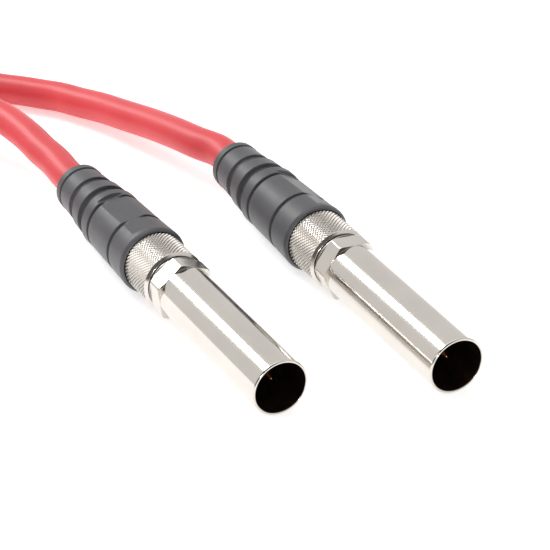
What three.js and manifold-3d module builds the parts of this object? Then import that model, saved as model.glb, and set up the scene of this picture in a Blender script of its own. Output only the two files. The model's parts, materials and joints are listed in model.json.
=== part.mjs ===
// Coaxial patch cord: one cable with an identical screw-barrel plug on each end.
// Millimetres, +Z up. Both plugs lie on the z = 0 surface with their open mouths towards -Y.
// A station is a distance along a plug's axis, measured from its mouth towards the cable.

import * as THREE from 'three';
import { mergeVertices } from 'three/addons/utils/BufferGeometryUtils.js';
import Module from 'manifold-3d';

const wasm = await Module();
wasm.setup();

// Driving dimensions
const cableRadius = 3.05;
const barrelRadius = 4.8;
const barrelBore = 4.38;
const threadBore = 3.9;
const stemRadius = 3.8;
const hexAcrossFlats = 9.7;
const hexFront = 32.0;
const barrelEnd = 35.3;
const knurlFront = 36.1;
const knurlRadius = 5.5;
const knurlEnd = 46.2;
const neckEnd = 50.2;
const neckRadius = 4.6;
const crimpEnd = 59.8;
const crimpStemRadius = 2.45;
const lipFront = 44.0;
const lipStation = 44.7;
const lipRadius = 6.17;
const bootEnd = 75.4;
const pinTip = 2.9;
const pinRadius = 0.8;
const jacketStart = 60.1;
const runningGap = 0.1;

// Each plug: where its mouth centre lies, its heading, and the turn of its hexagon and boot
const plugs = [
  { name: 'a', x: -12.1, y: -31.75, heading: 0.7, hexTurn: 30, padTurn: 90 },
  { name: 'b', x: 12.1, y: -43.65, heading: -0.7, hexTurn: 12, padTurn: 127 },
];

// A plug rests on its barrel's mouth rim and on its boot's lip
const plugTilt = Math.asin((lipRadius - barrelRadius) / lipStation);

// The coil lies flat: one turn on another, held by two ties
const coilCentre = new THREE.Vector2(-44.8, 129.4);
const coilTurn = 31;
const tieThickness = 0.65;
const tieGap = 0.25;
const tieWidth = 5;
const tieTurns = [60, 205];
const coilBase = tieThickness + tieGap;
const coilTop = coilBase + 4 * cableRadius + 0.05;

// Centre line of each free run, from behind the boot to the coil's rim
const routes = {
  a: [[-13.0, 55.1, 7.6], [-13.4, 60.0, 7.9], [-13.6, 65.3, 8.3], [-14.1, 70.1, 8.7],
    [-15.3, 76.6, 9.2], [-17.8, 83.6, 9.4], [-22.2, 89.7, 9.6], [-28.0, 94.4, 9.7]],
  b: [[11.5, 43.6, 7.2], [10.3, 51.3, 6.6], [8.9, 60.0, 5.6], [7.1, 68.3, 4.7],
    [5.4, 76.0, 3.9], [3.2, 82.4, 3.4], [1.1, 87.9, 3.2], [-1.5, 92.3, 3.15],
    [-3.7, 95.9, 3.15], [-7.3, 101.2, 3.15], [-10.0, 105.8, 3.3], [-12.0, 110.8, 3.5]],
};

const materials = {
  nickel: { color: 0xd9d4cc, roughness: 0.16, metalness: 1 },
  gold: { color: 0xc98f3c, roughness: 0.25, metalness: 1 },
  steel: { color: 0x9a9a98, roughness: 0.35, metalness: 1 },
  copper: { color: 0xb87347, roughness: 0.35, metalness: 1 },
  rubber: { color: 0x5e5e63, roughness: 0.55, metalness: 0 },
  jacket: { color: 0xe8535c, roughness: 0.5, metalness: 0 },
  polymer: { color: 0xe9e7df, roughness: 0.6, metalness: 0 },
  dark: { color: 0x1c1b1c, roughness: 0.7, metalness: 0 },
};

function part(name, geometry, finish) {
  const mesh = new THREE.Mesh(geometry, new THREE.MeshStandardMaterial(materials[finish]));
  mesh.name = name;
  return mesh;
}

// A solid of revolution about the plug's axis, from [station, radius] corners of its outline
function revolve(corners, sides) {
  const outline = corners.map(([station, radius]) => new THREE.Vector2(radius, station));
  if (THREE.ShapeUtils.area(outline) < 0) outline.reverse();
  if (outline.every((corner) => corner.x > 0)) outline.push(outline[0].clone());
  return new THREE.LatheGeometry(outline, sides);
}

function ring(start, end, inner, outer, sides = 24) {
  return revolve([[start, inner], [end, inner], [end, outer], [start, outer]], sides);
}

function rod(start, end, radius, sides = 20) {
  return revolve([[start, 0], [start, radius], [end, radius], [end, 0]], sides);
}

function toSolid(geometry) {
  const bare = new THREE.BufferGeometry();
  bare.setAttribute('position', geometry.getAttribute('position'));
  bare.setIndex(geometry.getIndex());
  const welded = mergeVertices(bare, 1e-4);
  const vertProperties = new Float32Array(welded.getAttribute('position').array);
  const triVerts = new Uint32Array(welded.getIndex().array);
  return new wasm.Manifold(new wasm.Mesh({ numProp: 3, vertProperties, triVerts }));
}

function toGeometry(solid) {
  const mesh = solid.getMesh();
  const geometry = new THREE.BufferGeometry();
  geometry.setAttribute('position', new THREE.BufferAttribute(new Float32Array(mesh.vertProperties), 3));
  geometry.setIndex(new THREE.BufferAttribute(new Uint32Array(mesh.triVerts), 1));
  return geometry;
}

// Angle around a plug's axis: 0 points left, 90 points up, as seen from the mouths' side
function turnAbout(geometry, degrees) {
  return geometry.rotateY(THREE.MathUtils.degToRad(degrees));
}

// Thin-walled sleeve with a spanner hexagon at its back and a screw thread bored inside it
function barrelGeometry(hexTurn) {
  const sides = 40;
  const hexLength = barrelEnd - hexFront;
  const hexCorner = hexAcrossFlats / 2 / Math.cos(Math.PI / 6);
  const hexagon = new THREE.CylinderGeometry(hexCorner, hexCorner, hexLength, 6);
  hexagon.translate(0, hexFront + hexLength / 2, 0);
  turnAbout(hexagon, hexTurn + 90);
  const cornerTrim = revolve([[hexFront - 1, 0], [hexFront - 1, 5.54], [barrelEnd - 0.35, 5.54],
    [barrelEnd, 5.15], [barrelEnd, 0]], 36);
  const sleeve = revolve([[0, 0], [0, barrelRadius - 0.15], [0.15, barrelRadius],
    [barrelEnd, barrelRadius], [barrelEnd, 0]], sides);
  const cavity = revolve([[-1, 0], [-1, barrelBore], [28, barrelBore], [28.4, threadBore],
    [barrelEnd + 1, threadBore], [barrelEnd + 1, 0]], sides);
  const outside = toSolid(hexagon).intersect(toSolid(cornerTrim)).add(toSolid(sleeve));
  return toGeometry(outside.subtract(toSolid(cavity)));
}

function lockWasherGeometry() {
  return ring(35.52, 35.88, stemRadius + runningGap, 4.95, 28);
}

// Body that everything is built on: threaded stem, knurled grip ring, neck and crimp stem
function plugBodyGeometry() {
  return revolve([[26.5, stemRadius], [knurlFront, stemRadius], [knurlFront, 5.05],
    [knurlFront + 0.45, knurlRadius], [knurlEnd, knurlRadius], [knurlEnd, neckRadius],
    [neckEnd, neckRadius], [neckEnd, crimpStemRadius], [crimpEnd - 1, crimpStemRadius],
    [crimpEnd - 1, 2.0], [43.5, 2.0], [43.5, 2.6], [26.5, 2.6]], 32);
}

function frontInsulatorGeometry() {
  return revolve([[22.5, 3.7], [26.3, 3.7], [26.3, 2.5], [29.6, 2.5], [29.6, 0.9], [22.5, 0.9]], 24);
}

function rearInsulatorGeometry() {
  return ring(31.0, 43.3, 0.9, 2.5);
}

// Gold pin with a pointed tip, and a shoulder trapped between the two insulators
function centrePinGeometry() {
  return revolve([[pinTip, 0], [pinTip + 0.1, 0.12], [pinTip + 2.2, pinRadius], [29.8, pinRadius],
    [29.8, 1.5], [30.8, 1.5], [30.8, pinRadius], [43.0, pinRadius], [43.0, 0]], 18);
}

function centreConductorGeometry() {
  return rod(43.6, 59.9, 0.5, 12);
}

function dielectricGeometry() {
  return ring(43.8, 59.9, 0.6, 1.9, 18);
}

function braidGeometry() {
  return ring(50.5, 59.7, crimpStemRadius + runningGap, 2.95);
}

function crimpFerruleGeometry() {
  return ring(50.5, crimpEnd, 3.05, 3.75);
}

// Ribbed rubber boot: stepped bore over the knurl, neck, ferrule and cable
function bootGeometry(padTurn) {
  const outside = [[lipFront, 5.62], [lipFront + 0.2, 5.95], [lipStation, lipRadius],
    [49.7, 5.95], [49.75, 5.55], [50.5, 5.52], [50.55, 5.93],
    [58.65, 5.7], [58.7, 5.2], [59.45, 5.18], [59.5, 5.68],
    [61.66, 5.72], [61.72, 4.75], [63.95, 4.65], [64.06, 5.34],
    [66.85, 5.19], [66.95, 4.45], [68.9, 4.35], [69.0, 4.82],
    [73.3, 4.55], [73.35, 4.28], [73.75, 4.28], [73.8, 4.62],
    [75.2, 4.55], [bootEnd, 4.4]];
  const inside = [[bootEnd, 3.3], [60.3, 3.3], [60.3, 3.9], [50.45, 3.9], [50.45, 4.7],
    [46.4, 4.7], [46.4, 5.62]];
  const body = toSolid(revolve([...outside, ...inside], 36));
  return toGeometry(padCutters(padTurn).reduce((solid, cutter) => solid.subtract(cutter), body));
}

// Two opposite flat pads on the boot, sloping with its taper
function padCutters(padTurn) {
  const start = 45.8;
  const end = 60.1;
  const depthAtStart = 5.67;
  const slope = 0.039;
  return [0, 180].map((side) => {
    const cutter = new THREE.BoxGeometry(12, end - start, 4);
    cutter.translate(0, (end - start) / 2, 2);
    cutter.rotateX(-Math.atan(slope));
    cutter.translate(0, start, depthAtStart);
    return toSolid(turnAbout(cutter, padTurn - 90 + side));
  });
}

function addPlug(root, plug) {
  const group = new THREE.Group();
  const pieces = [
    ['barrel', barrelGeometry(plug.hexTurn), 'nickel'],
    ['lock_washer', lockWasherGeometry(), 'steel'],
    ['plug_body', plugBodyGeometry(), 'nickel'],
    ['front_insulator', frontInsulatorGeometry(), 'dark'],
    ['rear_insulator', rearInsulatorGeometry(), 'polymer'],
    ['centre_pin', centrePinGeometry(), 'gold'],
    ['centre_conductor', centreConductorGeometry(), 'copper'],
    ['dielectric', dielectricGeometry(), 'polymer'],
    ['braid', braidGeometry(), 'copper'],
    ['crimp_ferrule', crimpFerruleGeometry(), 'steel'],
    ['boot', bootGeometry(plug.padTurn), 'rubber'],
  ];
  for (const [name, geometry, finish] of pieces) {
    group.add(part(`${name}_${plug.name}`, geometry, finish));
  }
  group.rotation.set(plugTilt, 0, THREE.MathUtils.degToRad(plug.heading), 'ZXY');
  group.position.set(plug.x, plug.y, barrelRadius * Math.cos(plugTilt));
  root.add(group);
  group.updateMatrixWorld(true);
  return group;
}

// Cable from inside a boot, straight out of it, and then along its route
function cableRunGeometry(group, route) {
  const onAxis = (station) => group.localToWorld(new THREE.Vector3(0, station, 0));
  const straight = [jacketStart, 68, bootEnd, bootEnd + 6].map(onAxis);
  const points = [...straight, ...route.map((point) => new THREE.Vector3(...point))];
  const curve = new THREE.CatmullRomCurve3(points, false, 'centripetal');
  return tubeGeometry(curve, cableRadius, Math.round(curve.getLength() / 7));
}

function tubeGeometry(curve, radius, steps) {
  const section = new THREE.Shape();
  const sides = 12;
  for (let i = 0; i < sides; i += 1) {
    const angle = (i / sides) * 2 * Math.PI;
    const corner = [radius * Math.cos(angle), radius * Math.sin(angle)];
    if (i === 0) section.moveTo(...corner);
    else section.lineTo(...corner);
  }
  return new THREE.ExtrudeGeometry(section, { steps, extrudePath: curve, bevelEnabled: false });
}

// Outer shape of the wound cable, as one ring
function coilGeometry() {
  const inner = coilTurn - cableRadius;
  const outer = coilTurn + cableRadius;
  return ring(coilBase, coilTop, inner, outer, 48).rotateX(Math.PI / 2);
}

// Flat band wrapped once around the coil's bundle
function tieGeometry() {
  const inner = coilTurn - cableRadius - 0.4;
  const outer = coilTurn + cableRadius + 0.3;
  const low = coilBase - tieGap;
  const high = coilTop + tieGap;
  const band = roundedRectangle(inner - tieThickness, outer + tieThickness, 0, high + tieThickness, 1.2);
  band.holes.push(roundedRectangle(inner, outer, low, high, 0.5));
  const settings = { depth: tieWidth, bevelEnabled: false, curveSegments: 4 };
  const geometry = new THREE.ExtrudeGeometry(band, settings);
  return geometry.translate(0, 0, -tieWidth / 2).rotateX(Math.PI / 2);
}

function roundedRectangle(left, right, low, high, corner) {
  const shape = new THREE.Shape();
  shape.moveTo(left + corner, low);
  shape.lineTo(right - corner, low);
  shape.absarc(right - corner, low + corner, corner, -Math.PI / 2, 0);
  shape.absarc(right - corner, high - corner, corner, 0, Math.PI / 2);
  shape.absarc(left + corner, high - corner, corner, Math.PI / 2, Math.PI);
  shape.absarc(left + corner, low + corner, corner, Math.PI, Math.PI * 1.5);
  return shape;
}

function addCoil(root) {
  const group = new THREE.Group();
  group.position.set(coilCentre.x, coilCentre.y, 0);
  group.add(part('cable_coil', coilGeometry(), 'jacket'));
  tieTurns.forEach((turn, i) => {
    const tie = part(`coil_tie_${i + 1}`, tieGeometry(), 'dark');
    tie.rotation.z = THREE.MathUtils.degToRad(turn);
    group.add(tie);
  });
  root.add(group);
}

const patchCord = new THREE.Group();
for (const plug of plugs) {
  const group = addPlug(patchCord, plug);
  patchCord.add(part(`cable_${plug.name}`, cableRunGeometry(group, routes[plug.name]), 'jacket'));
}
addCoil(patchCord);

export default patchCord;
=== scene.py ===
import json
import math

import bpy
import numpy as np
from mathutils import Matrix, Vector


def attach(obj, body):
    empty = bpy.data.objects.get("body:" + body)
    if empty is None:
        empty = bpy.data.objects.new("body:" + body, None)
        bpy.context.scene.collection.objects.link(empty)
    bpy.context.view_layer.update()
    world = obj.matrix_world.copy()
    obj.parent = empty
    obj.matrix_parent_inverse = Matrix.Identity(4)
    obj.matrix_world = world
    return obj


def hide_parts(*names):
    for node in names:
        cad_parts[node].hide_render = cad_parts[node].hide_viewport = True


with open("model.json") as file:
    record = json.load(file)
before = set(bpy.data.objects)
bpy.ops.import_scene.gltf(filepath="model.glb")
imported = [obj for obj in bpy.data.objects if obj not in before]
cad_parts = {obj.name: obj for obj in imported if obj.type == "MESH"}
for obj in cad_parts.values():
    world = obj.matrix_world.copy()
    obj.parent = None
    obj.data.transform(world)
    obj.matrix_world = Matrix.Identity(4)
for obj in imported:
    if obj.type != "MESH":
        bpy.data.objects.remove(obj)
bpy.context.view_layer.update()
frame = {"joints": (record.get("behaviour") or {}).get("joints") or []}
scene = bpy.context.scene
mm = 0.001

# camera
camera = dict(aim=(2.5, -2.8, 4.8), distance=316.5, azimuth=23.8, elevation=32.01, roll=-8.49, lens=124.3)


def makeCamera():
    az, el, roll = (math.radians(camera[k]) for k in ("azimuth", "elevation", "roll"))
    forward = Vector((math.sin(az) * math.cos(el), math.cos(az) * math.cos(el), -math.sin(el)))
    level = Vector((math.cos(az), -math.sin(az), 0))
    lift = level.cross(forward)
    right = level * math.cos(roll) + lift * math.sin(roll)
    up = right.cross(forward)
    place = Vector(camera["aim"]) * mm - forward * camera["distance"] * mm
    data = bpy.data.cameras.new("camera")
    data.lens, data.sensor_width = camera["lens"], 36
    data.clip_start, data.clip_end = 0.01, 20
    made = bpy.data.objects.new("camera", data)
    turn = Matrix((right, up, -forward)).transposed()
    made.matrix_world = Matrix.Translation(place) @ turn.to_4x4()
    scene.collection.objects.link(made)
    scene.camera = made


makeCamera()
print("camera placed")

# where each plug lies
plugs = {"a": dict(hexTurn=30, padTurn=90), "b": dict(hexTurn=12, padTurn=127)}


def readPlugPlaces():
    # each plug's own axes: the screw joint's axis points out of the mouth
    for joint in frame["joints"]:
        kind, plug = joint["name"].rsplit("_", 1)
        if kind == "unscrew":
            rear = -np.array(joint["axis"], float)
            right = np.cross(rear, (0, 0, 1))
            right /= np.linalg.norm(right)
            plugs[plug].update(mouth=np.array(joint["pos_m"], float), rear=rear, right=right,
                               up=np.cross(right, rear))


def onPlug(plug, station, radius, angle):
    # a point at a station (mm behind the mouth), a radius (mm) and an angle (radians, 0 left, 90 up)
    side = -np.cos(angle)[..., None] * plug["right"] + np.sin(angle)[..., None] * plug["up"]
    return plug["mouth"] + np.asarray(station)[..., None] * mm * plug["rear"] \
        + np.asarray(radius)[..., None] * mm * side


readPlugPlaces()

# surfaces


def outlineOf(corners, rounding=0.08, closed=True, stretch=2.5):
    # corners joined by straight lines, each corner replaced by a short curve of five points,
    # with a supporting point beside it and more points along long straight lines
    corners = np.array(corners, float)
    count, points = len(corners), []
    for i in range(count):
        here = corners[i]
        if not closed and i in (0, count - 1):
            points.append(here)
        else:
            before, after = corners[i - 1] - here, corners[(i + 1) % count] - here
            lengths = np.linalg.norm(before), np.linalg.norm(after)
            cut = min(rounding, 0.35 * lengths[0], 0.35 * lengths[1])
            start, end = here + before / lengths[0] * cut, here + after / lengths[1] * cut
            t = np.linspace(0, 1, 5)[:, None]
            points.extend((1 - t) ** 2 * start + 2 * t * (1 - t) * here + t ** 2 * end)
        if closed or i < count - 1:
            goal = corners[(i + 1) % count]
            run = goal - points[-1]
            long = np.linalg.norm(run)
            inner = long - min(rounding, 0.35 * np.linalg.norm(goal - here))
            if inner > 5 * rounding:
                steps = max(2, int(inner / stretch) + 1)
                places = np.linspace(rounding, inner - rounding, steps) / long
                points.extend(points[-1] + run * places[:, None])
    return np.array(points).T


def addMesh(name, grid, material, uv=None, closed=True, sharp=38):
    # grid[row, column] is a surface whose columns wrap round; its rows wrap too if closed,
    # and otherwise its first and last rows are single points that the neighbouring rows fan to
    rows, columns = grid.shape[:2]
    index = np.arange(rows * columns).reshape(rows, columns)
    if not closed:
        index[0], index[-1] = 0, (rows - 1) * columns
    lower = index if closed else index[:-1]
    upper = np.roll(index, -1, 0) if closed else index[1:]
    faces = np.stack([lower, np.roll(lower, -1, 1), np.roll(upper, -1, 1), upper], -1).reshape(-1, 4)
    points = grid.reshape(-1, 3)
    p = points[faces]
    volume = np.einsum("ij,ij->", p[:, 0], np.cross(p[:, 1], p[:, 2]) + np.cross(p[:, 2], p[:, 3]))
    if uv is not None:
        u, v = uv
        u = np.broadcast_to(u, (rows, columns + 1))
        v = np.broadcast_to(v, (rows + 1, 1)) if closed else np.broadcast_to(v, (rows, 1))
        r = np.arange(len(lower))[:, None]
        c = np.arange(columns)[None, :]
        low, high = v[r, 0], v[r + 1, 0]
        rr = (r + 1) % rows
        corners = [(u[r, c], low), (u[r, c + 1], low), (u[rr, c + 1], high), (u[rr, c], high)]
        uvs = np.stack([np.stack(np.broadcast_arrays(a, b), -1) for a, b in corners], -2).reshape(-1, 4, 2)
    if volume < 0:
        faces = faces[:, ::-1]
        uvs = uvs[:, ::-1] if uv is not None else None
    keep = np.ones((len(faces), 4), bool)
    keep[:, 1:] = faces[:, 1:] != faces[:, :-1]
    keep[:, 0] = faces[:, 0] != faces[:, 3]
    sizes = keep.sum(1)
    used = np.unique(faces)
    fresh = np.zeros(len(points), int)
    fresh[used] = np.arange(len(used))
    mesh = bpy.data.meshes.new(name)
    mesh.vertices.add(len(used))
    mesh.vertices.foreach_set("co", points[used].ravel())
    mesh.loops.add(int(sizes.sum()))
    mesh.loops.foreach_set("vertex_index", fresh[faces[keep]])
    mesh.polygons.add(len(faces))
    mesh.polygons.foreach_set("loop_start", np.concatenate([[0], np.cumsum(sizes)[:-1]]))
    mesh.update(calc_edges=True)
    if uv is not None:
        layer = mesh.uv_layers.new(name="surface")
        layer.data.foreach_set("uv", uvs[keep].ravel())
    mesh.shade_smooth()
    mesh.set_sharp_from_angle(angle=math.radians(sharp))
    for finish in material if isinstance(material, list) else [material]:
        mesh.materials.append(finish)
    made = bpy.data.objects.new(name, mesh)
    scene.collection.objects.link(made)
    return made


def addTurned(name, plug, outline, columns, material, shape=None, turn=0, closed=True, sharp=38):
    # a surface of revolution about the plug's axis; shape(station, radius, angle) gives the
    # radius that is really there, so flats, knurls and threads are part of the surface
    station, radius = (part[:, None] for part in outline)
    angle = math.radians(turn) + np.arange(columns) * (2 * math.pi / columns)
    angle = angle[None, :]
    real = shape(station, radius, angle) if shape else radius + 0 * angle
    grid = onPlug(plug, station + 0 * angle, real, angle + 0 * station)
    around = np.linspace(0, 1, columns + 1)
    along = np.concatenate([station[:, 0], station[:1, 0]]) if closed else station[:, 0]
    return addMesh(name, grid, material, (around, along[:, None] * mm), closed, sharp)


def softMin(a, b, blend):
    # the smaller of two sizes, with the edge between them rounded over about blend
    least = np.minimum(a, b)
    return least - blend * np.log1p(np.exp(-np.abs(a - b) / blend))


def between(value, low, high):
    # 0 below low, 1 above high, and a smooth rise from one to the other
    t = np.clip((value - low) / (high - low), 0, 1)
    return t * t * (3 - 2 * t)


# materials


def newMaterial(name, **settings):
    material = bpy.data.materials.new(name)
    material.use_nodes = True
    shader = material.node_tree.nodes["Principled BSDF"]
    for socket, value in settings.items():
        shader.inputs[socket].default_value = value
    return material, material.node_tree, shader


def addNode(tree, kind, inputs=None, **settings):
    node = tree.nodes.new(kind)
    for key, value in settings.items():
        setattr(node, key, value)
    for socket, value in (inputs or {}).items():
        if isinstance(value, bpy.types.NodeSocket):
            tree.links.new(value, node.inputs[socket])
        else:
            node.inputs[socket].default_value = value
    return node


def addRamp(tree, factor, stops):
    ramp = addNode(tree, "ShaderNodeValToRGB", {"Fac": factor})
    while len(ramp.color_ramp.elements) < len(stops):
        ramp.color_ramp.elements.new(0.5)
    for element, (place, colour) in zip(ramp.color_ramp.elements, stops):
        element.position = place
        element.color = (*colour, 1) if len(colour) == 3 else colour
    return ramp.outputs["Color"]


def addNoise(tree, where, scale, detail=3, roughness=0.5):
    return addNode(tree, "ShaderNodeTexNoise",
                   {"Vector": where, "Scale": scale, "Detail": detail, "Roughness": roughness}).outputs["Fac"]


def addRange(tree, value, low, high):
    return addNode(tree, "ShaderNodeMapRange", {"Value": value, "To Min": low, "To Max": high}).outputs["Result"]


def addBump(tree, shader, height, distance, strength=1.0, under=None):
    inputs = {"Height": height, "Distance": distance, "Strength": strength}
    if under is not None:
        inputs["Normal"] = under
    bump = addNode(tree, "ShaderNodeBump", inputs)
    tree.links.new(bump.outputs["Normal"], shader.inputs["Normal"])
    return bump.outputs["Normal"]


def objectPlace(tree):
    return addNode(tree, "ShaderNodeTexCoord").outputs["Object"]


def surfacePlace(tree, stretch):
    where = addNode(tree, "ShaderNodeTexCoord").outputs["UV"]
    return addNode(tree, "ShaderNodeMapping", {"Vector": where, "Scale": stretch}).outputs["Vector"]


def plateMetal(name, light, dark, low, high, ripple=0.004):
    # polished plating: faint cloudy tint, uneven polish and shallow turning marks
    material, tree, shader = newMaterial(name, **{"Metallic": 1.0})
    where = objectPlace(tree)
    cloud = addNoise(tree, where, 140, 4)
    tree.links.new(addRamp(tree, cloud, [(0.3, dark), (0.7, light)]), shader.inputs["Base Color"])
    tree.links.new(addRange(tree, addNoise(tree, where, 420, 5, 0.6), low, high), shader.inputs["Roughness"])
    turned = addNoise(tree, surfacePlace(tree, (6, 5200, 1)), 1.0, 2)
    first = addBump(tree, shader, turned, ripple * mm, 0.35)
    addBump(tree, shader, addNoise(tree, where, 900, 3), ripple * mm * 2, 0.3, first)
    return material


def mouldedPlastic(name, light, dark, low, high, grainScale=5200, grain=0.012, **settings):
    # moulded surface: slight colour drift, uneven sheen and a fine grain
    material, tree, shader = newMaterial(name, **settings)
    where = objectPlace(tree)
    drift = addNoise(tree, where, 260, 4)
    tree.links.new(addRamp(tree, drift, [(0.32, dark), (0.68, light)]), shader.inputs["Base Color"])
    tree.links.new(addRange(tree, addNoise(tree, where, 700, 4), low, high), shader.inputs["Roughness"])
    soft = addBump(tree, shader, addNoise(tree, where, 600, 2), grain * mm * 2, 0.5)
    addBump(tree, shader, addNoise(tree, where, grainScale, 4, 0.6), grain * mm, 0.6, soft)
    return material


def jacketPlastic():
    # soft coloured jacket: drift of colour along it, faint drawn lines and an orange-peel skin
    material, tree, shader = newMaterial("jacketRed", **{"Specular IOR Level": 0.45, "Sheen Weight": 0.06,
                                                         "Sheen Roughness": 0.45})
    where = objectPlace(tree)
    drift = addNoise(tree, where, 90, 5, 0.55)
    tree.links.new(addRamp(tree, drift, [(0.3, (0.60, 0.036, 0.045)), (0.7, (0.68, 0.048, 0.058))]),
                   shader.inputs["Base Color"])
    drawn = addNoise(tree, surfacePlace(tree, (26, 30, 1)), 1.0, 3)
    tree.links.new(addRange(tree, drawn, 0.36, 0.5), shader.inputs["Roughness"])
    lines = addBump(tree, shader, drawn, 0.02 * mm, 0.5)
    addBump(tree, shader, addNoise(tree, where, 1500, 3), 0.02 * mm, 0.5, lines)
    return material


def bandWeave():
    # woven strap: over-and-under threads along the band, finer than a fifth of a millimetre, with painted shade
    # darkening the weave's hollows
    material, tree, shader = newMaterial("bandWeave", **{"Roughness": 0.85, "Sheen Weight": 0.25,
                                                         "Sheen Roughness": 0.5})
    place = surfacePlace(tree, (1, 1, 1))
    split = addNode(tree, "ShaderNodeSeparateXYZ", {"Vector": place})

    def thread(value, pitch):
        scaled = addNode(tree, "ShaderNodeMath", {0: value, 1: math.pi / pitch}, operation="MULTIPLY")
        return addNode(tree, "ShaderNodeMath", {0: scaled.outputs[0]}, operation="SINE").outputs[0]
    crossed = addNode(tree, "ShaderNodeMath", {0: thread(split.outputs["X"], 0.55 * mm),
                                               1: thread(split.outputs["Y"], 0.45 * mm)}, operation="MULTIPLY")
    height = addRange(tree, crossed.outputs[0], 0.25, 0.75)
    # the colour follows the weave's height, darker in its hollows: painted shade
    tree.links.new(addRamp(tree, height, [(0.2, (0.006, 0.006, 0.007)), (0.8, (0.028, 0.028, 0.031))]),
                   shader.inputs["Base Color"])
    addBump(tree, shader, height, 0.12 * mm, 0.8)
    return material


finishes = dict(
    nickel=plateMetal("nickelPlate", (0.64, 0.605, 0.56), (0.60, 0.565, 0.525), 0.09, 0.15),
    knurl=plateMetal("knurledNickel", (0.66, 0.62, 0.575), (0.60, 0.565, 0.525), 0.13, 0.22),
    # the bore finish is a darker, browner copy of the nickel for the inside of the barrel: painted shade in the recess
    bore=plateMetal("boreNickelPaintedShade", (0.46, 0.38, 0.31), (0.37, 0.30, 0.245), 0.17, 0.25),
    steel=plateMetal("washerSteel", (0.34, 0.33, 0.32), (0.24, 0.23, 0.22), 0.25, 0.4),
    gold=plateMetal("goldPlate", (0.86, 0.58, 0.22), (0.76, 0.48, 0.16), 0.14, 0.24),
    copper=plateMetal("copperWire", (0.80, 0.45, 0.30), (0.66, 0.34, 0.22), 0.25, 0.4),
    rubber=mouldedPlastic("bootRubber", (0.066, 0.066, 0.072), (0.054, 0.054, 0.060), 0.40, 0.52,
                          **{"Sheen Weight": 0.08, "Sheen Roughness": 0.4, "Specular IOR Level": 0.5}),
    collar=mouldedPlastic("bootCollar", (0.072, 0.080, 0.080), (0.058, 0.066, 0.067), 0.45, 0.58),
    jacket=jacketPlastic(),
    polymer=mouldedPlastic("whitePolymer", (0.80, 0.79, 0.75), (0.74, 0.73, 0.69), 0.4, 0.55),
    dark=mouldedPlastic("darkInsulator", (0.075, 0.060, 0.048), (0.055, 0.044, 0.036), 0.4, 0.6),
    weave=bandWeave(),
)
print("materials made")


def finishPiece(made, body, slot, *nodes):
    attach(made, body)
    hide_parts(*nodes)
    return made


# the cable, from boot to boot
cable = dict(radius=3.05, columns=40, step=1.1, jacketStart=60.1, bootEnd=75.4, straight=(68, 75.4, 81.4))
coil = dict(centre=(-44.8, 129.4), radius=31.0, turned=634.95, lower=3.95, upper=10.1, stepHalf=30)
routes = dict(  # millimetres, each from behind its boot towards the coil
    a=[(-13.0, 55.1, 7.6), (-13.4, 60.0, 7.9), (-13.6, 65.3, 8.3), (-14.1, 70.1, 8.7),
       (-15.3, 76.6, 9.2), (-17.8, 83.6, 9.4), (-22.2, 89.7, 9.6), (-28.0, 94.4, 9.7), (-34.8, 97.4, 9.9)],
    b=[(11.5, 43.6, 7.2), (10.3, 51.3, 6.6), (8.9, 60.0, 5.6), (7.1, 68.3, 4.7),
       (5.4, 76.0, 3.9), (3.2, 82.4, 3.4), (1.1, 87.9, 3.2), (-1.5, 92.3, 3.15),
       (-3.7, 95.9, 3.15), (-7.3, 101.2, 3.15), (-10.0, 105.8, 3.3), (-12.0, 110.8, 3.5), (-13.4, 116.0, 3.6),
       (-14.0, 121.4, 3.8)],
)


def coilPoints():
    # clockwise from the front: one turn above, a step down, and one turn below
    turned = np.linspace(0, coil["turned"], int(round(coil["turned"] / 15)) + 1)
    fromMiddle = turned - coil["turned"] / 2
    height = coil["upper"] + (coil["lower"] - coil["upper"]) * between(fromMiddle, -coil["stepHalf"], coil["stepHalf"])
    angle = np.radians(270 - turned)
    x, y = coil["centre"]
    return np.stack([x + coil["radius"] * np.cos(angle), y + coil["radius"] * np.sin(angle), height], 1) * mm


def smoothThrough(points, step):
    # centripetal Catmull-Rom curve through the points, then evened out to one step
    padded = np.vstack([2 * points[0] - points[1], points, 2 * points[-1] - points[-2]])
    knots = np.concatenate([[0], np.cumsum(np.sqrt(np.linalg.norm(np.diff(padded, axis=0), axis=1)))])
    pieces = []
    for i in range(1, len(padded) - 2):
        t = np.linspace(knots[i], knots[i + 1], 24, endpoint=False)[:, None]
        p, k = padded[i - 1:i + 3], knots[i - 1:i + 3]
        a = [((k[j + 1] - t) * p[j] + (t - k[j]) * p[j + 1]) / (k[j + 1] - k[j]) for j in range(3)]
        b = [((k[j + 2] - t) * a[j] + (t - k[j]) * a[j + 1]) / (k[j + 2] - k[j]) for j in range(2)]
        pieces.append(((k[2] - t) * b[0] + (t - k[1]) * b[1]) / (k[2] - k[1]))
    fine = np.vstack([*pieces, points[-1:]])
    travelled = np.concatenate([[0], np.cumsum(np.linalg.norm(np.diff(fine, axis=0), axis=1))])
    places = np.linspace(0, travelled[-1], int(travelled[-1] / step) + 1)
    return np.stack([np.interp(places, travelled, fine[:, axis]) for axis in range(3)], 1), travelled[-1]


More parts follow.
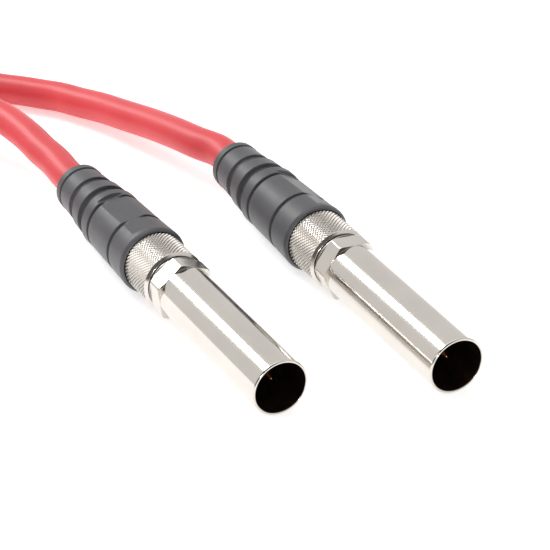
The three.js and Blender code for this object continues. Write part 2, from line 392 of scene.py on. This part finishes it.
def addCable():
    # one jacket: out of boot A, over the other run, round the coil and back into boot B
    ends = {}
    for name, plug in plugs.items():
        stations = np.array([cable["jacketStart"], *cable["straight"]], float)
        straight = onPlug(plug, stations, 0 * stations, 0 * stations)
        ends[name] = np.vstack([straight, np.array(routes[name]) * mm])
    points = np.vstack([ends["a"], coilPoints(), ends["b"][::-1]])
    path, length = smoothThrough(points, cable["step"] * mm)
    along = np.gradient(path, axis=0)
    along /= np.linalg.norm(along, axis=1)[:, None]
    side = np.cross(along, (0, 0, 1))
    side /= np.linalg.norm(side, axis=1)[:, None]
    lift = np.cross(side, along)
    angle = np.arange(cable["columns"]) * (2 * math.pi / cable["columns"])
    ring = np.cos(angle)[None, :, None] * side[:, None] + np.sin(angle)[None, :, None] * lift[:, None]
    tube = path[:, None] + cable["radius"] * mm * ring
    tips = [np.repeat(path[end][None, None], cable["columns"], 1) for end in (0, -1)]
    grid = np.concatenate([tips[0], tube, tips[1]])
    distance = np.linspace(0, length, len(path))
    around = np.linspace(0, 1, cable["columns"] + 1)
    uv = (around, np.concatenate([[0], distance, [length]])[:, None])
    made = addMesh("cable_jacket", grid, finishes["jacket"], uv, closed=False, sharp=60)
    finishPiece(made, "cord", "jacket", "cable_a", "cable_b", "cable_coil")
    exitPoint = onPlug(plugs["a"], np.array(cable["bootEnd"]), np.array(0.0), np.array(0.0))
    print(f"cable {length:.4f} m long, from boot to boot {length - 2 * (75.4 - 60.1) * mm:.4f} m")
    return made, path, length, exitPoint


cableJacket, cablePath, cableLength, cableExit = addCable()

# straps round the coil
strap = dict(turns=(60, 205), width=5.0, thickness=0.6, corner=1.6, overlap=0.16,
             inner=27.55, outer=34.35, low=0.62, high=13.45)


def addStrap(number, turn):
    # a band carried once and a bit round the bundle: its path is a rectangle with round corners
    # that spirals out by one thickness where the end laps over the start
    inner, outer, low, high, corner = (strap[k] for k in ("inner", "outer", "low", "high", "corner"))
    half = np.array([(outer - inner) / 2, (high - low) / 2])
    middle = np.array([(outer + inner) / 2, (high + low) / 2])
    straight = 2 * (half - corner)
    arc = corner * math.pi / 2
    total = 2 * straight.sum() + 4 * arc
    s = np.linspace(0, 1 + strap["overlap"], 300)
    place = (s * total + straight[0] * 0.2) % total
    x, y, nx, ny = (np.zeros(len(s)) for _ in range(4))
    start = 0.0
    for turnBy, run in ((0, straight[0]), (90, straight[1]), (180, straight[0]), (270, straight[1])):
        c, d = math.cos(math.radians(turnBy)), math.sin(math.radians(turnBy))
        along, out = np.array([-c, -d]), np.array([-d, c])
        reach = half[1] if turnBy % 180 == 0 else half[0]
        inLine = (place >= start) & (place < start + run)
        t = place[inLine] - start - run / 2
        x[inLine], y[inLine] = along[0] * t + out[0] * reach, along[1] * t + out[1] * reach
        nx[inLine], ny[inLine] = out
        start += run
        inArc = (place >= start) & (place < start + arc)
        phi = (place[inArc] - start) / corner
        normal = np.outer(np.cos(phi), out) + np.outer(np.sin(phi), along)
        pivot = along * (run / 2) + out * (reach - corner)
        x[inArc], y[inArc] = (pivot + corner * normal).T
        nx[inArc], ny[inArc] = normal.T
        start += arc
    lapped = strap["thickness"] * 1.05 * between(s, 1 - 0.06, 1 + 0.01)
    offset = strap["thickness"] / 2 + lapped
    x, y = x + middle[0] + nx * offset, y + middle[1] + ny * offset
    angle = np.linspace(0, 2 * math.pi, 40, endpoint=False)
    power = 0.35
    across = np.sign(np.cos(angle)) * np.abs(np.cos(angle)) ** power * strap["width"] / 2
    thick = np.sign(np.sin(angle)) * np.abs(np.sin(angle)) ** power * strap["thickness"] / 2
    thick = thick * (1 + 0.12 * between(np.abs(across), strap["width"] * 0.38, strap["width"] * 0.47))
    heading = math.radians(turn)
    radial = np.array([math.cos(heading), math.sin(heading), 0])
    lengthways = np.array([-math.sin(heading), math.cos(heading), 0])
    up = np.array([0, 0, 1.0])
    centre = np.array([*coil["centre"], 0.0])
    core = centre + x[:, None] * radial + y[:, None] * up
    normal = nx[:, None] * radial + ny[:, None] * up
    grid = core[:, None] + across[None, :, None] * lengthways + thick[None, :, None] * normal[:, None]
    grid = np.concatenate([np.repeat(core[:1, None], 40, 1), grid, np.repeat(core[-1:, None], 40, 1)]) * mm
    profile = np.concatenate([[0], np.cumsum(np.hypot(*np.diff(np.array([across, thick]), axis=1)))])
    around = np.concatenate([profile, [profile[-1] * 2 - profile[-2]]]) * mm
    distance = np.concatenate([[0], s * total * mm, [s[-1] * total * mm]])[:, None]
    made = addMesh(f"coil_strap_{number}", grid, finishes["weave"], (around, distance), closed=False, sharp=50)
    return finishPiece(made, "cord", "tie", f"coil_tie_{number}")


straps = [addStrap(i + 1, turn) for i, turn in enumerate(strap["turns"])]
print("cable and straps laid")

# barrel
barrel = dict(outer=4.8, bore=4.38, thread=3.9, chamfer=0.16, hexFlats=9.7, hexCorner=5.54, hexFront=32.0,
              end=35.3, boreEnd=28.0, columns=240)


def addBarrel(name, plug):
    b = barrel

    def shape(station, radius, angle):
        # distance to the nearest of six flats, where the blank is fatter than the sleeve
        slot = (np.degrees(angle) - plug["hexTurn"]) % 60 - 30
        flat = b["hexFlats"] / 2 / np.cos(np.radians(slot))
        hexagon = np.maximum(softMin(radius + 0 * flat, flat, 0.015), b["outer"])
        return np.where(radius > b["outer"] + 1e-4, hexagon, radius + 0 * angle)

    corners = [(0, b["bore"] + 0.05), (0, b["outer"] - b["chamfer"]), (b["chamfer"], b["outer"]),
               (b["hexFront"], b["outer"]), (b["hexFront"], 5.42), (b["hexFront"] + 0.12, b["hexCorner"]),
               (b["end"] - 0.35, b["hexCorner"]), (b["end"], 5.15), (b["end"], b["thread"] + 0.2),
               (b["end"] - 0.2, b["thread"]), (b["boreEnd"] + 0.4, b["thread"]), (b["boreEnd"], b["bore"]),
               (0.05, b["bore"])]
    # the second finish paints the shade inside the bore onto the same nickel
    made = addTurned(f"barrel_sleeve_{name}", plug, outlineOf(corners, 0.05), b["columns"],
                     [finishes["nickel"], finishes["bore"]], shape, turn=plug["hexTurn"])
    paintBoreShade(made, plug, b["bore"] + 0.02)
    return finishPiece(made, f"barrel_{name}", "nickel", f"barrel_{name}")


def paintBoreShade(made, plug, radius):
    # faces nearer the axis than radius take the second finish, the darker, browner bore nickel that paints the shade
    # inside the bore
    mesh = made.data
    centres = np.zeros(len(mesh.polygons) * 3)
    mesh.polygons.foreach_get("center", centres)
    rel = centres.reshape(-1, 3) - plug["mouth"]
    off = rel - np.outer(rel @ plug["rear"], plug["rear"])
    mesh.polygons.foreach_set("material_index", (np.linalg.norm(off, axis=1) < radius * mm).astype(int))
    mesh.update()


# plug body
plugBody = dict(stem=3.8, knurlFront=36.1, knurl=5.5, knurlEnd=46.2, neck=4.6, neckEnd=50.2, crimpStem=2.45,
                crimpEnd=59.8, teeth=48, toothDepth=0.26, flatTop=0.74, samples=8, threadDepth=0.3, threadPitch=1.0)


def addPlugBody(name, plug):
    p = plugBody
    pitch = 2 * math.pi * p["knurl"] / p["teeth"]  # one diamond, as long as it is wide
    knurlStart = p["knurlFront"] + 0.5

    def shape(station, radius, angle):
        # two crossing families of helical grooves leave diamonds with flattened points
        turns = angle / (2 * math.pi) * p["teeth"]
        runs = (station - knurlStart) / pitch
        first, second = (np.abs((turns + sign * runs) % 1 - 0.5) * 2 for sign in (1, -1))
        low = 1 - np.minimum(np.minimum(1 - first, 1 - second) / p["flatTop"], 1)
        share = between(station, knurlStart - 0.05, knurlStart + 0.12) * (radius > p["knurl"] - 0.02) \
            * (1 - between(station, p["knurlEnd"] - 0.4, p["knurlEnd"] - 0.2))
        knurled = radius - p["toothDepth"] * low * share
        # a right-hand vee thread on the stem
        groove = np.abs((station / p["threadPitch"] + angle / (2 * math.pi)) % 1 - 0.5) * 2
        onStem = (radius > p["stem"] - 0.02) & (station < p["knurlFront"] - 0.7)
        cut = p["threadDepth"] * groove * onStem * between(station, 26.7, 27.5) \
            * (1 - between(station, p["knurlFront"] - 1.5, p["knurlFront"] - 0.8))
        return np.where(station < p["knurlFront"] - 0.2, radius - cut, knurled)

    corners = [(26.5, p["stem"]), (p["knurlFront"], p["stem"]), (p["knurlFront"], 5.05),
               (p["knurlFront"] + 0.45, p["knurl"]), (p["knurlEnd"], p["knurl"]), (p["knurlEnd"], p["neck"]),
               (p["neckEnd"], p["neck"]), (p["neckEnd"], p["crimpStem"]), (p["crimpEnd"] - 1, p["crimpStem"]),
               (p["crimpEnd"] - 1, 2.0), (43.5, 2.0), (43.5, 2.6), (26.5, 2.6)]
    station, radius = outlineOf(corners, 0.06)
    fine = [(station, radius)]
    for start, end, size, gap in ((27.0, p["knurlFront"] - 0.6, p["stem"], 0.125),
                                  (knurlStart + 0.1, p["knurlEnd"] - 0.15, p["knurl"], pitch / p["samples"])):
        fine.append((np.arange(start, end, gap), size))
    station, radius = mergeRows(fine)
    made = addTurned(f"knurled_body_{name}", plug, np.array([station, radius]), p["teeth"] * p["samples"],
                     finishes["knurl"], shape, sharp=30)
    return finishPiece(made, "cord", "nickel", f"plug_body_{name}")


def mergeRows(groups):
    # puts runs of extra rows of one radius between the outline's points where they belong
    station, radius = groups[0]
    for extra, size in groups[1:]:
        onRun = np.abs(radius - size) < 1e-6
        clear = onRun & (station > extra[0]) & (station < extra[-1])
        station, radius, onRun = station[~clear], radius[~clear], onRun[~clear]
        at = np.flatnonzero(onRun & (station <= extra[0]))[-1] + 1
        station = np.insert(station, at, extra)
        radius = np.insert(radius, at, np.full(len(extra), size))
    return station, radius


# boot
boot = dict(columns=240, rounding=0.1, padStart=45.8, padEnd=60.1, padDepth=5.67, padSlope=0.039,
            collarStart=73.78)
bootOutside = [(44.0, 5.62), (44.2, 5.95), (44.7, 6.17), (49.7, 5.95), (49.75, 5.55), (50.5, 5.52), (50.55, 5.93),
               (58.65, 5.7), (58.7, 5.2), (59.45, 5.18), (59.5, 5.68), (61.66, 5.72), (61.72, 4.75),
               (63.95, 4.65), (64.06, 5.34), (66.85, 5.19), (66.95, 4.45), (68.9, 4.35), (69.0, 4.82),
               (73.3, 4.55), (73.35, 4.28), (73.75, 4.28), (73.8, 4.62), (75.2, 4.55), (75.4, 4.4)]
bootInside = [(75.4, 3.3), (60.3, 3.3), (60.3, 3.9), (50.45, 3.9), (50.45, 4.7), (46.4, 4.7), (46.4, 5.62)]


def addBoot(name, plug):
    b = boot

    def shape(station, radius, angle):
        # two opposite flats that slope with the taper, each ending in a short wall
        off = (np.degrees(angle) - plug["padTurn"] + 90) % 180 - 90
        plane = b["padDepth"] - b["padSlope"] * (station - b["padStart"])
        walls = 1.2 * (1 - between(station, b["padStart"] - 0.3, b["padStart"])) \
            + 1.2 * between(station, b["padEnd"] - 0.05, b["padEnd"] + 0.2)
        flat = (plane + walls) / np.cos(np.radians(np.clip(off, -70, 70)))
        cut = softMin(radius + 0 * flat, flat, 0.025)
        return np.where(radius > 5.0, cut, radius + 0 * angle)

    station, radius = outlineOf(bootOutside + bootInside, b["rounding"], stretch=0.8)
    station, radius = addWallRows(station, radius, (b["padStart"], b["padEnd"]))
    made = addTurned(f"strain_relief_{name}", plug, np.array([station, radius]), b["columns"],
                     [finishes["rubber"], finishes["collar"]], shape, turn=plug["padTurn"], sharp=42)
    paintBehind(made, plug, b["collarStart"])
    return finishPiece(made, f"boot_{name}", "boot_rubber", f"boot_{name}")


def addWallRows(station, radius, walls):
    # closer rows over each wall, at the outline's own radius there
    for wall in walls:
        extra = np.linspace(wall - 0.3, wall + 0.3, 13)
        outer = np.arange(np.argmax(station))
        left = outer[station[outer] <= extra[0]][-1]
        right = outer[station[outer] >= extra[-1]][0]
        sizes = np.interp(extra, station[left:right + 1], radius[left:right + 1])
        station = np.concatenate([station[:left + 1], extra, station[right:]])
        radius = np.concatenate([radius[:left + 1], sizes, radius[right:]])
    return station, radius


def paintBehind(made, plug, station):
    mesh = made.data
    centres = np.zeros(len(mesh.polygons) * 3)
    mesh.polygons.foreach_get("center", centres)
    along = (centres.reshape(-1, 3) - plug["mouth"]) @ plug["rear"]
    mesh.polygons.foreach_set("material_index", (along > station * mm).astype(int))
    mesh.update()


# what is inside


def addInside(name, plug):
    ring = [("lock_ring", [(35.52, 3.9), (35.88, 3.9), (35.88, 4.95), (35.52, 4.95)], 0.1, 120, "steel", None,
             f"washer_{name}", "washer_steel", "lock_washer", True),
            ("front_bead", [(22.5, 3.7), (26.3, 3.7), (26.3, 2.5), (29.6, 2.5), (29.6, 0.9), (22.5, 0.9)],
             0.15, 96, "dark", None, "cord", "dark_insulator", "front_insulator", True),
            ("rear_bead", [(31.0, 0.9), (43.3, 0.9), (43.3, 2.5), (31.0, 2.5)], 0.15, 72, "polymer", None,
             "cord", "white_insulator", "rear_insulator", True),
            ("contact_pin", [(2.9, 0), (3.0, 0.12), (5.1, 0.8), (29.8, 0.8), (29.8, 1.5), (30.8, 1.5),
                             (30.8, 0.8), (43.0, 0.8), (43.0, 0)], 0.12, 64, "gold", None,
             "cord", "gold", "centre_pin", False),
            ("core_strands", [(43.6, 0), (43.6, 0.5), (59.9, 0.5), (59.9, 0)], 0.05, 72, "copper", strandShape,
             "cord", "copper", "centre_conductor", False),
            ("core_insulation", [(43.8, 0.6), (59.9, 0.6), (59.9, 1.9), (43.8, 1.9)], 0.1, 64, "polymer", None,
             "cord", "white_insulator", "dielectric", True),
            ("screen_braid", [(50.5, 2.56), (59.7, 2.56), (59.7, 2.94), (50.5, 2.94)], 0.05, 144, "copper",
             braidShape, "cord", "copper", "braid", True),
            ("crimped_sleeve", [(50.5, 3.06), (59.8, 3.06), (59.8, 3.74), (50.5, 3.74)], 0.1, 144, "nickel",
             crimpShape, "cord", "washer_steel", "crimp_ferrule", True)]
    for label, corners, rounding, columns, finish, shape, body, slot, node, closed in ring:
        outline = outlineOf(corners, rounding, closed, stretch=0.25 if shape else 2.5)
        made = addTurned(f"{label}_{name}", plug, outline, columns, finishes[finish], shape, closed=closed)
        finishPiece(made, body, slot, f"{node}_{name}")


def strandShape(station, radius, angle):
    # six outer strands laid round a seventh, one turn in eight millimetres
    lobes = np.abs(np.cos(3 * (angle + station * 2 * math.pi / 8)))
    return radius * (0.84 + 0.16 * lobes)


def braidShape(station, radius, angle):
    # carriers crossing over and under each other
    over = np.sin(12 * angle + 4.2 * station) * np.sin(12 * angle - 4.2 * station)
    return np.where(radius > 2.7, radius - 0.07 + 0.07 * over, radius + 0 * angle)


def crimpShape(station, radius, angle):
    # a hexagonal crimp pressed into the middle of a round sleeve
    slot = np.degrees(angle) % 60 - 30
    flat = 3.5 / np.cos(np.radians(slot)) + 0.4 * (1 - between(station, 51.4, 51.8)) \
        + 0.4 * between(station, 58.4, 58.8)
    return np.where(radius > 3.3, softMin(radius + 0 * flat, flat, 0.02), radius + 0 * angle)


for plugName, plugPlace in plugs.items():
    addBarrel(plugName, plugPlace)
    addPlugBody(plugName, plugPlace)
    addBoot(plugName, plugPlace)
    addInside(plugName, plugPlace)
    print("plug", plugName, "made")

# floor and light
studio = dict(floorReach=6.0, floorGlow=0.5, floorTone=(0.86, 0.86, 0.86), sky=(0.95, 0.945, 0.935), skyStrength=0.95,
              darkSide=(-0.39, -0.92, 0.0), darkTone=(0.13, 0.12, 0.11))
softboxes = dict(  # azimuth and elevation where each stands, its distance and size in metres, and its power
    strip=dict(azimuth=-17, elevation=40, distance=0.7, size=(0.17, 0.34), power=1.9),
    overhead=dict(azimuth=30, elevation=78, distance=0.9, size=(0.7, 0.7), power=2.2),
    front=dict(azimuth=203, elevation=14, distance=0.6, size=(0.10, 0.06), power=1.1),
)


def addFloor():
    reach = studio["floorReach"]
    corners = [(x * reach, y * reach, -0.0001) for x, y in ((-1, -1), (1, -1), (1, 1), (-1, 1))]
    mesh = bpy.data.meshes.new("floor")
    mesh.from_pydata(corners, [], [(0, 1, 2, 3)])
    material, tree, shader = newMaterial("floorPaper", **{"Base Color": (*studio["floorTone"], 1), "Roughness": 0.9,
                                                          "Specular IOR Level": 0.0, "Emission Color": (1, 1, 1, 1),
                                                          "Emission Strength": studio["floorGlow"]})
    mesh.materials.append(material)
    floor = bpy.data.objects.new("floor", mesh)
    scene.collection.objects.link(floor)


def addSky():
    # a white tent all round, open and dark on the side that the plugs face
    world = bpy.data.worlds.new("studio")
    world.use_nodes = True
    scene.world = world
    tree = world.node_tree
    shader = tree.nodes["Background"]
    where = addNode(tree, "ShaderNodeTexCoord").outputs["Generated"]
    facing = addNode(tree, "ShaderNodeVectorMath", {0: where, 1: studio["darkSide"]}, operation="DOT_PRODUCT")
    share = addNode(tree, "ShaderNodeMapRange", {"Value": facing.outputs["Value"], "From Min": 0.3, "From Max": 0.55},
                    interpolation_type="SMOOTHSTEP")
    colour = addRamp(tree, share.outputs["Result"], [(0.0, studio["sky"]), (1.0, studio["darkTone"])])
    tree.links.new(colour, shader.inputs["Color"])
    shader.inputs["Strength"].default_value = studio["skyStrength"]


def addSoftboxes():
    for name, box in softboxes.items():
        az, el = math.radians(box["azimuth"]), math.radians(box["elevation"])
        towards = Vector((math.sin(az) * math.cos(el), math.cos(az) * math.cos(el), math.sin(el)))
        data = bpy.data.lights.new(name, "AREA")
        data.shape, data.size, data.size_y = "RECTANGLE", *box["size"]
        data.energy = box["power"]
        made = bpy.data.objects.new(name, data)
        made.location = towards * box["distance"]
        made.rotation_euler = towards.to_track_quat("Z", "Y").to_euler()
        scene.collection.objects.link(made)


addFloor()
addSky()
addSoftboxes()
scene.view_settings.view_transform = "Standard"
print("studio lit")
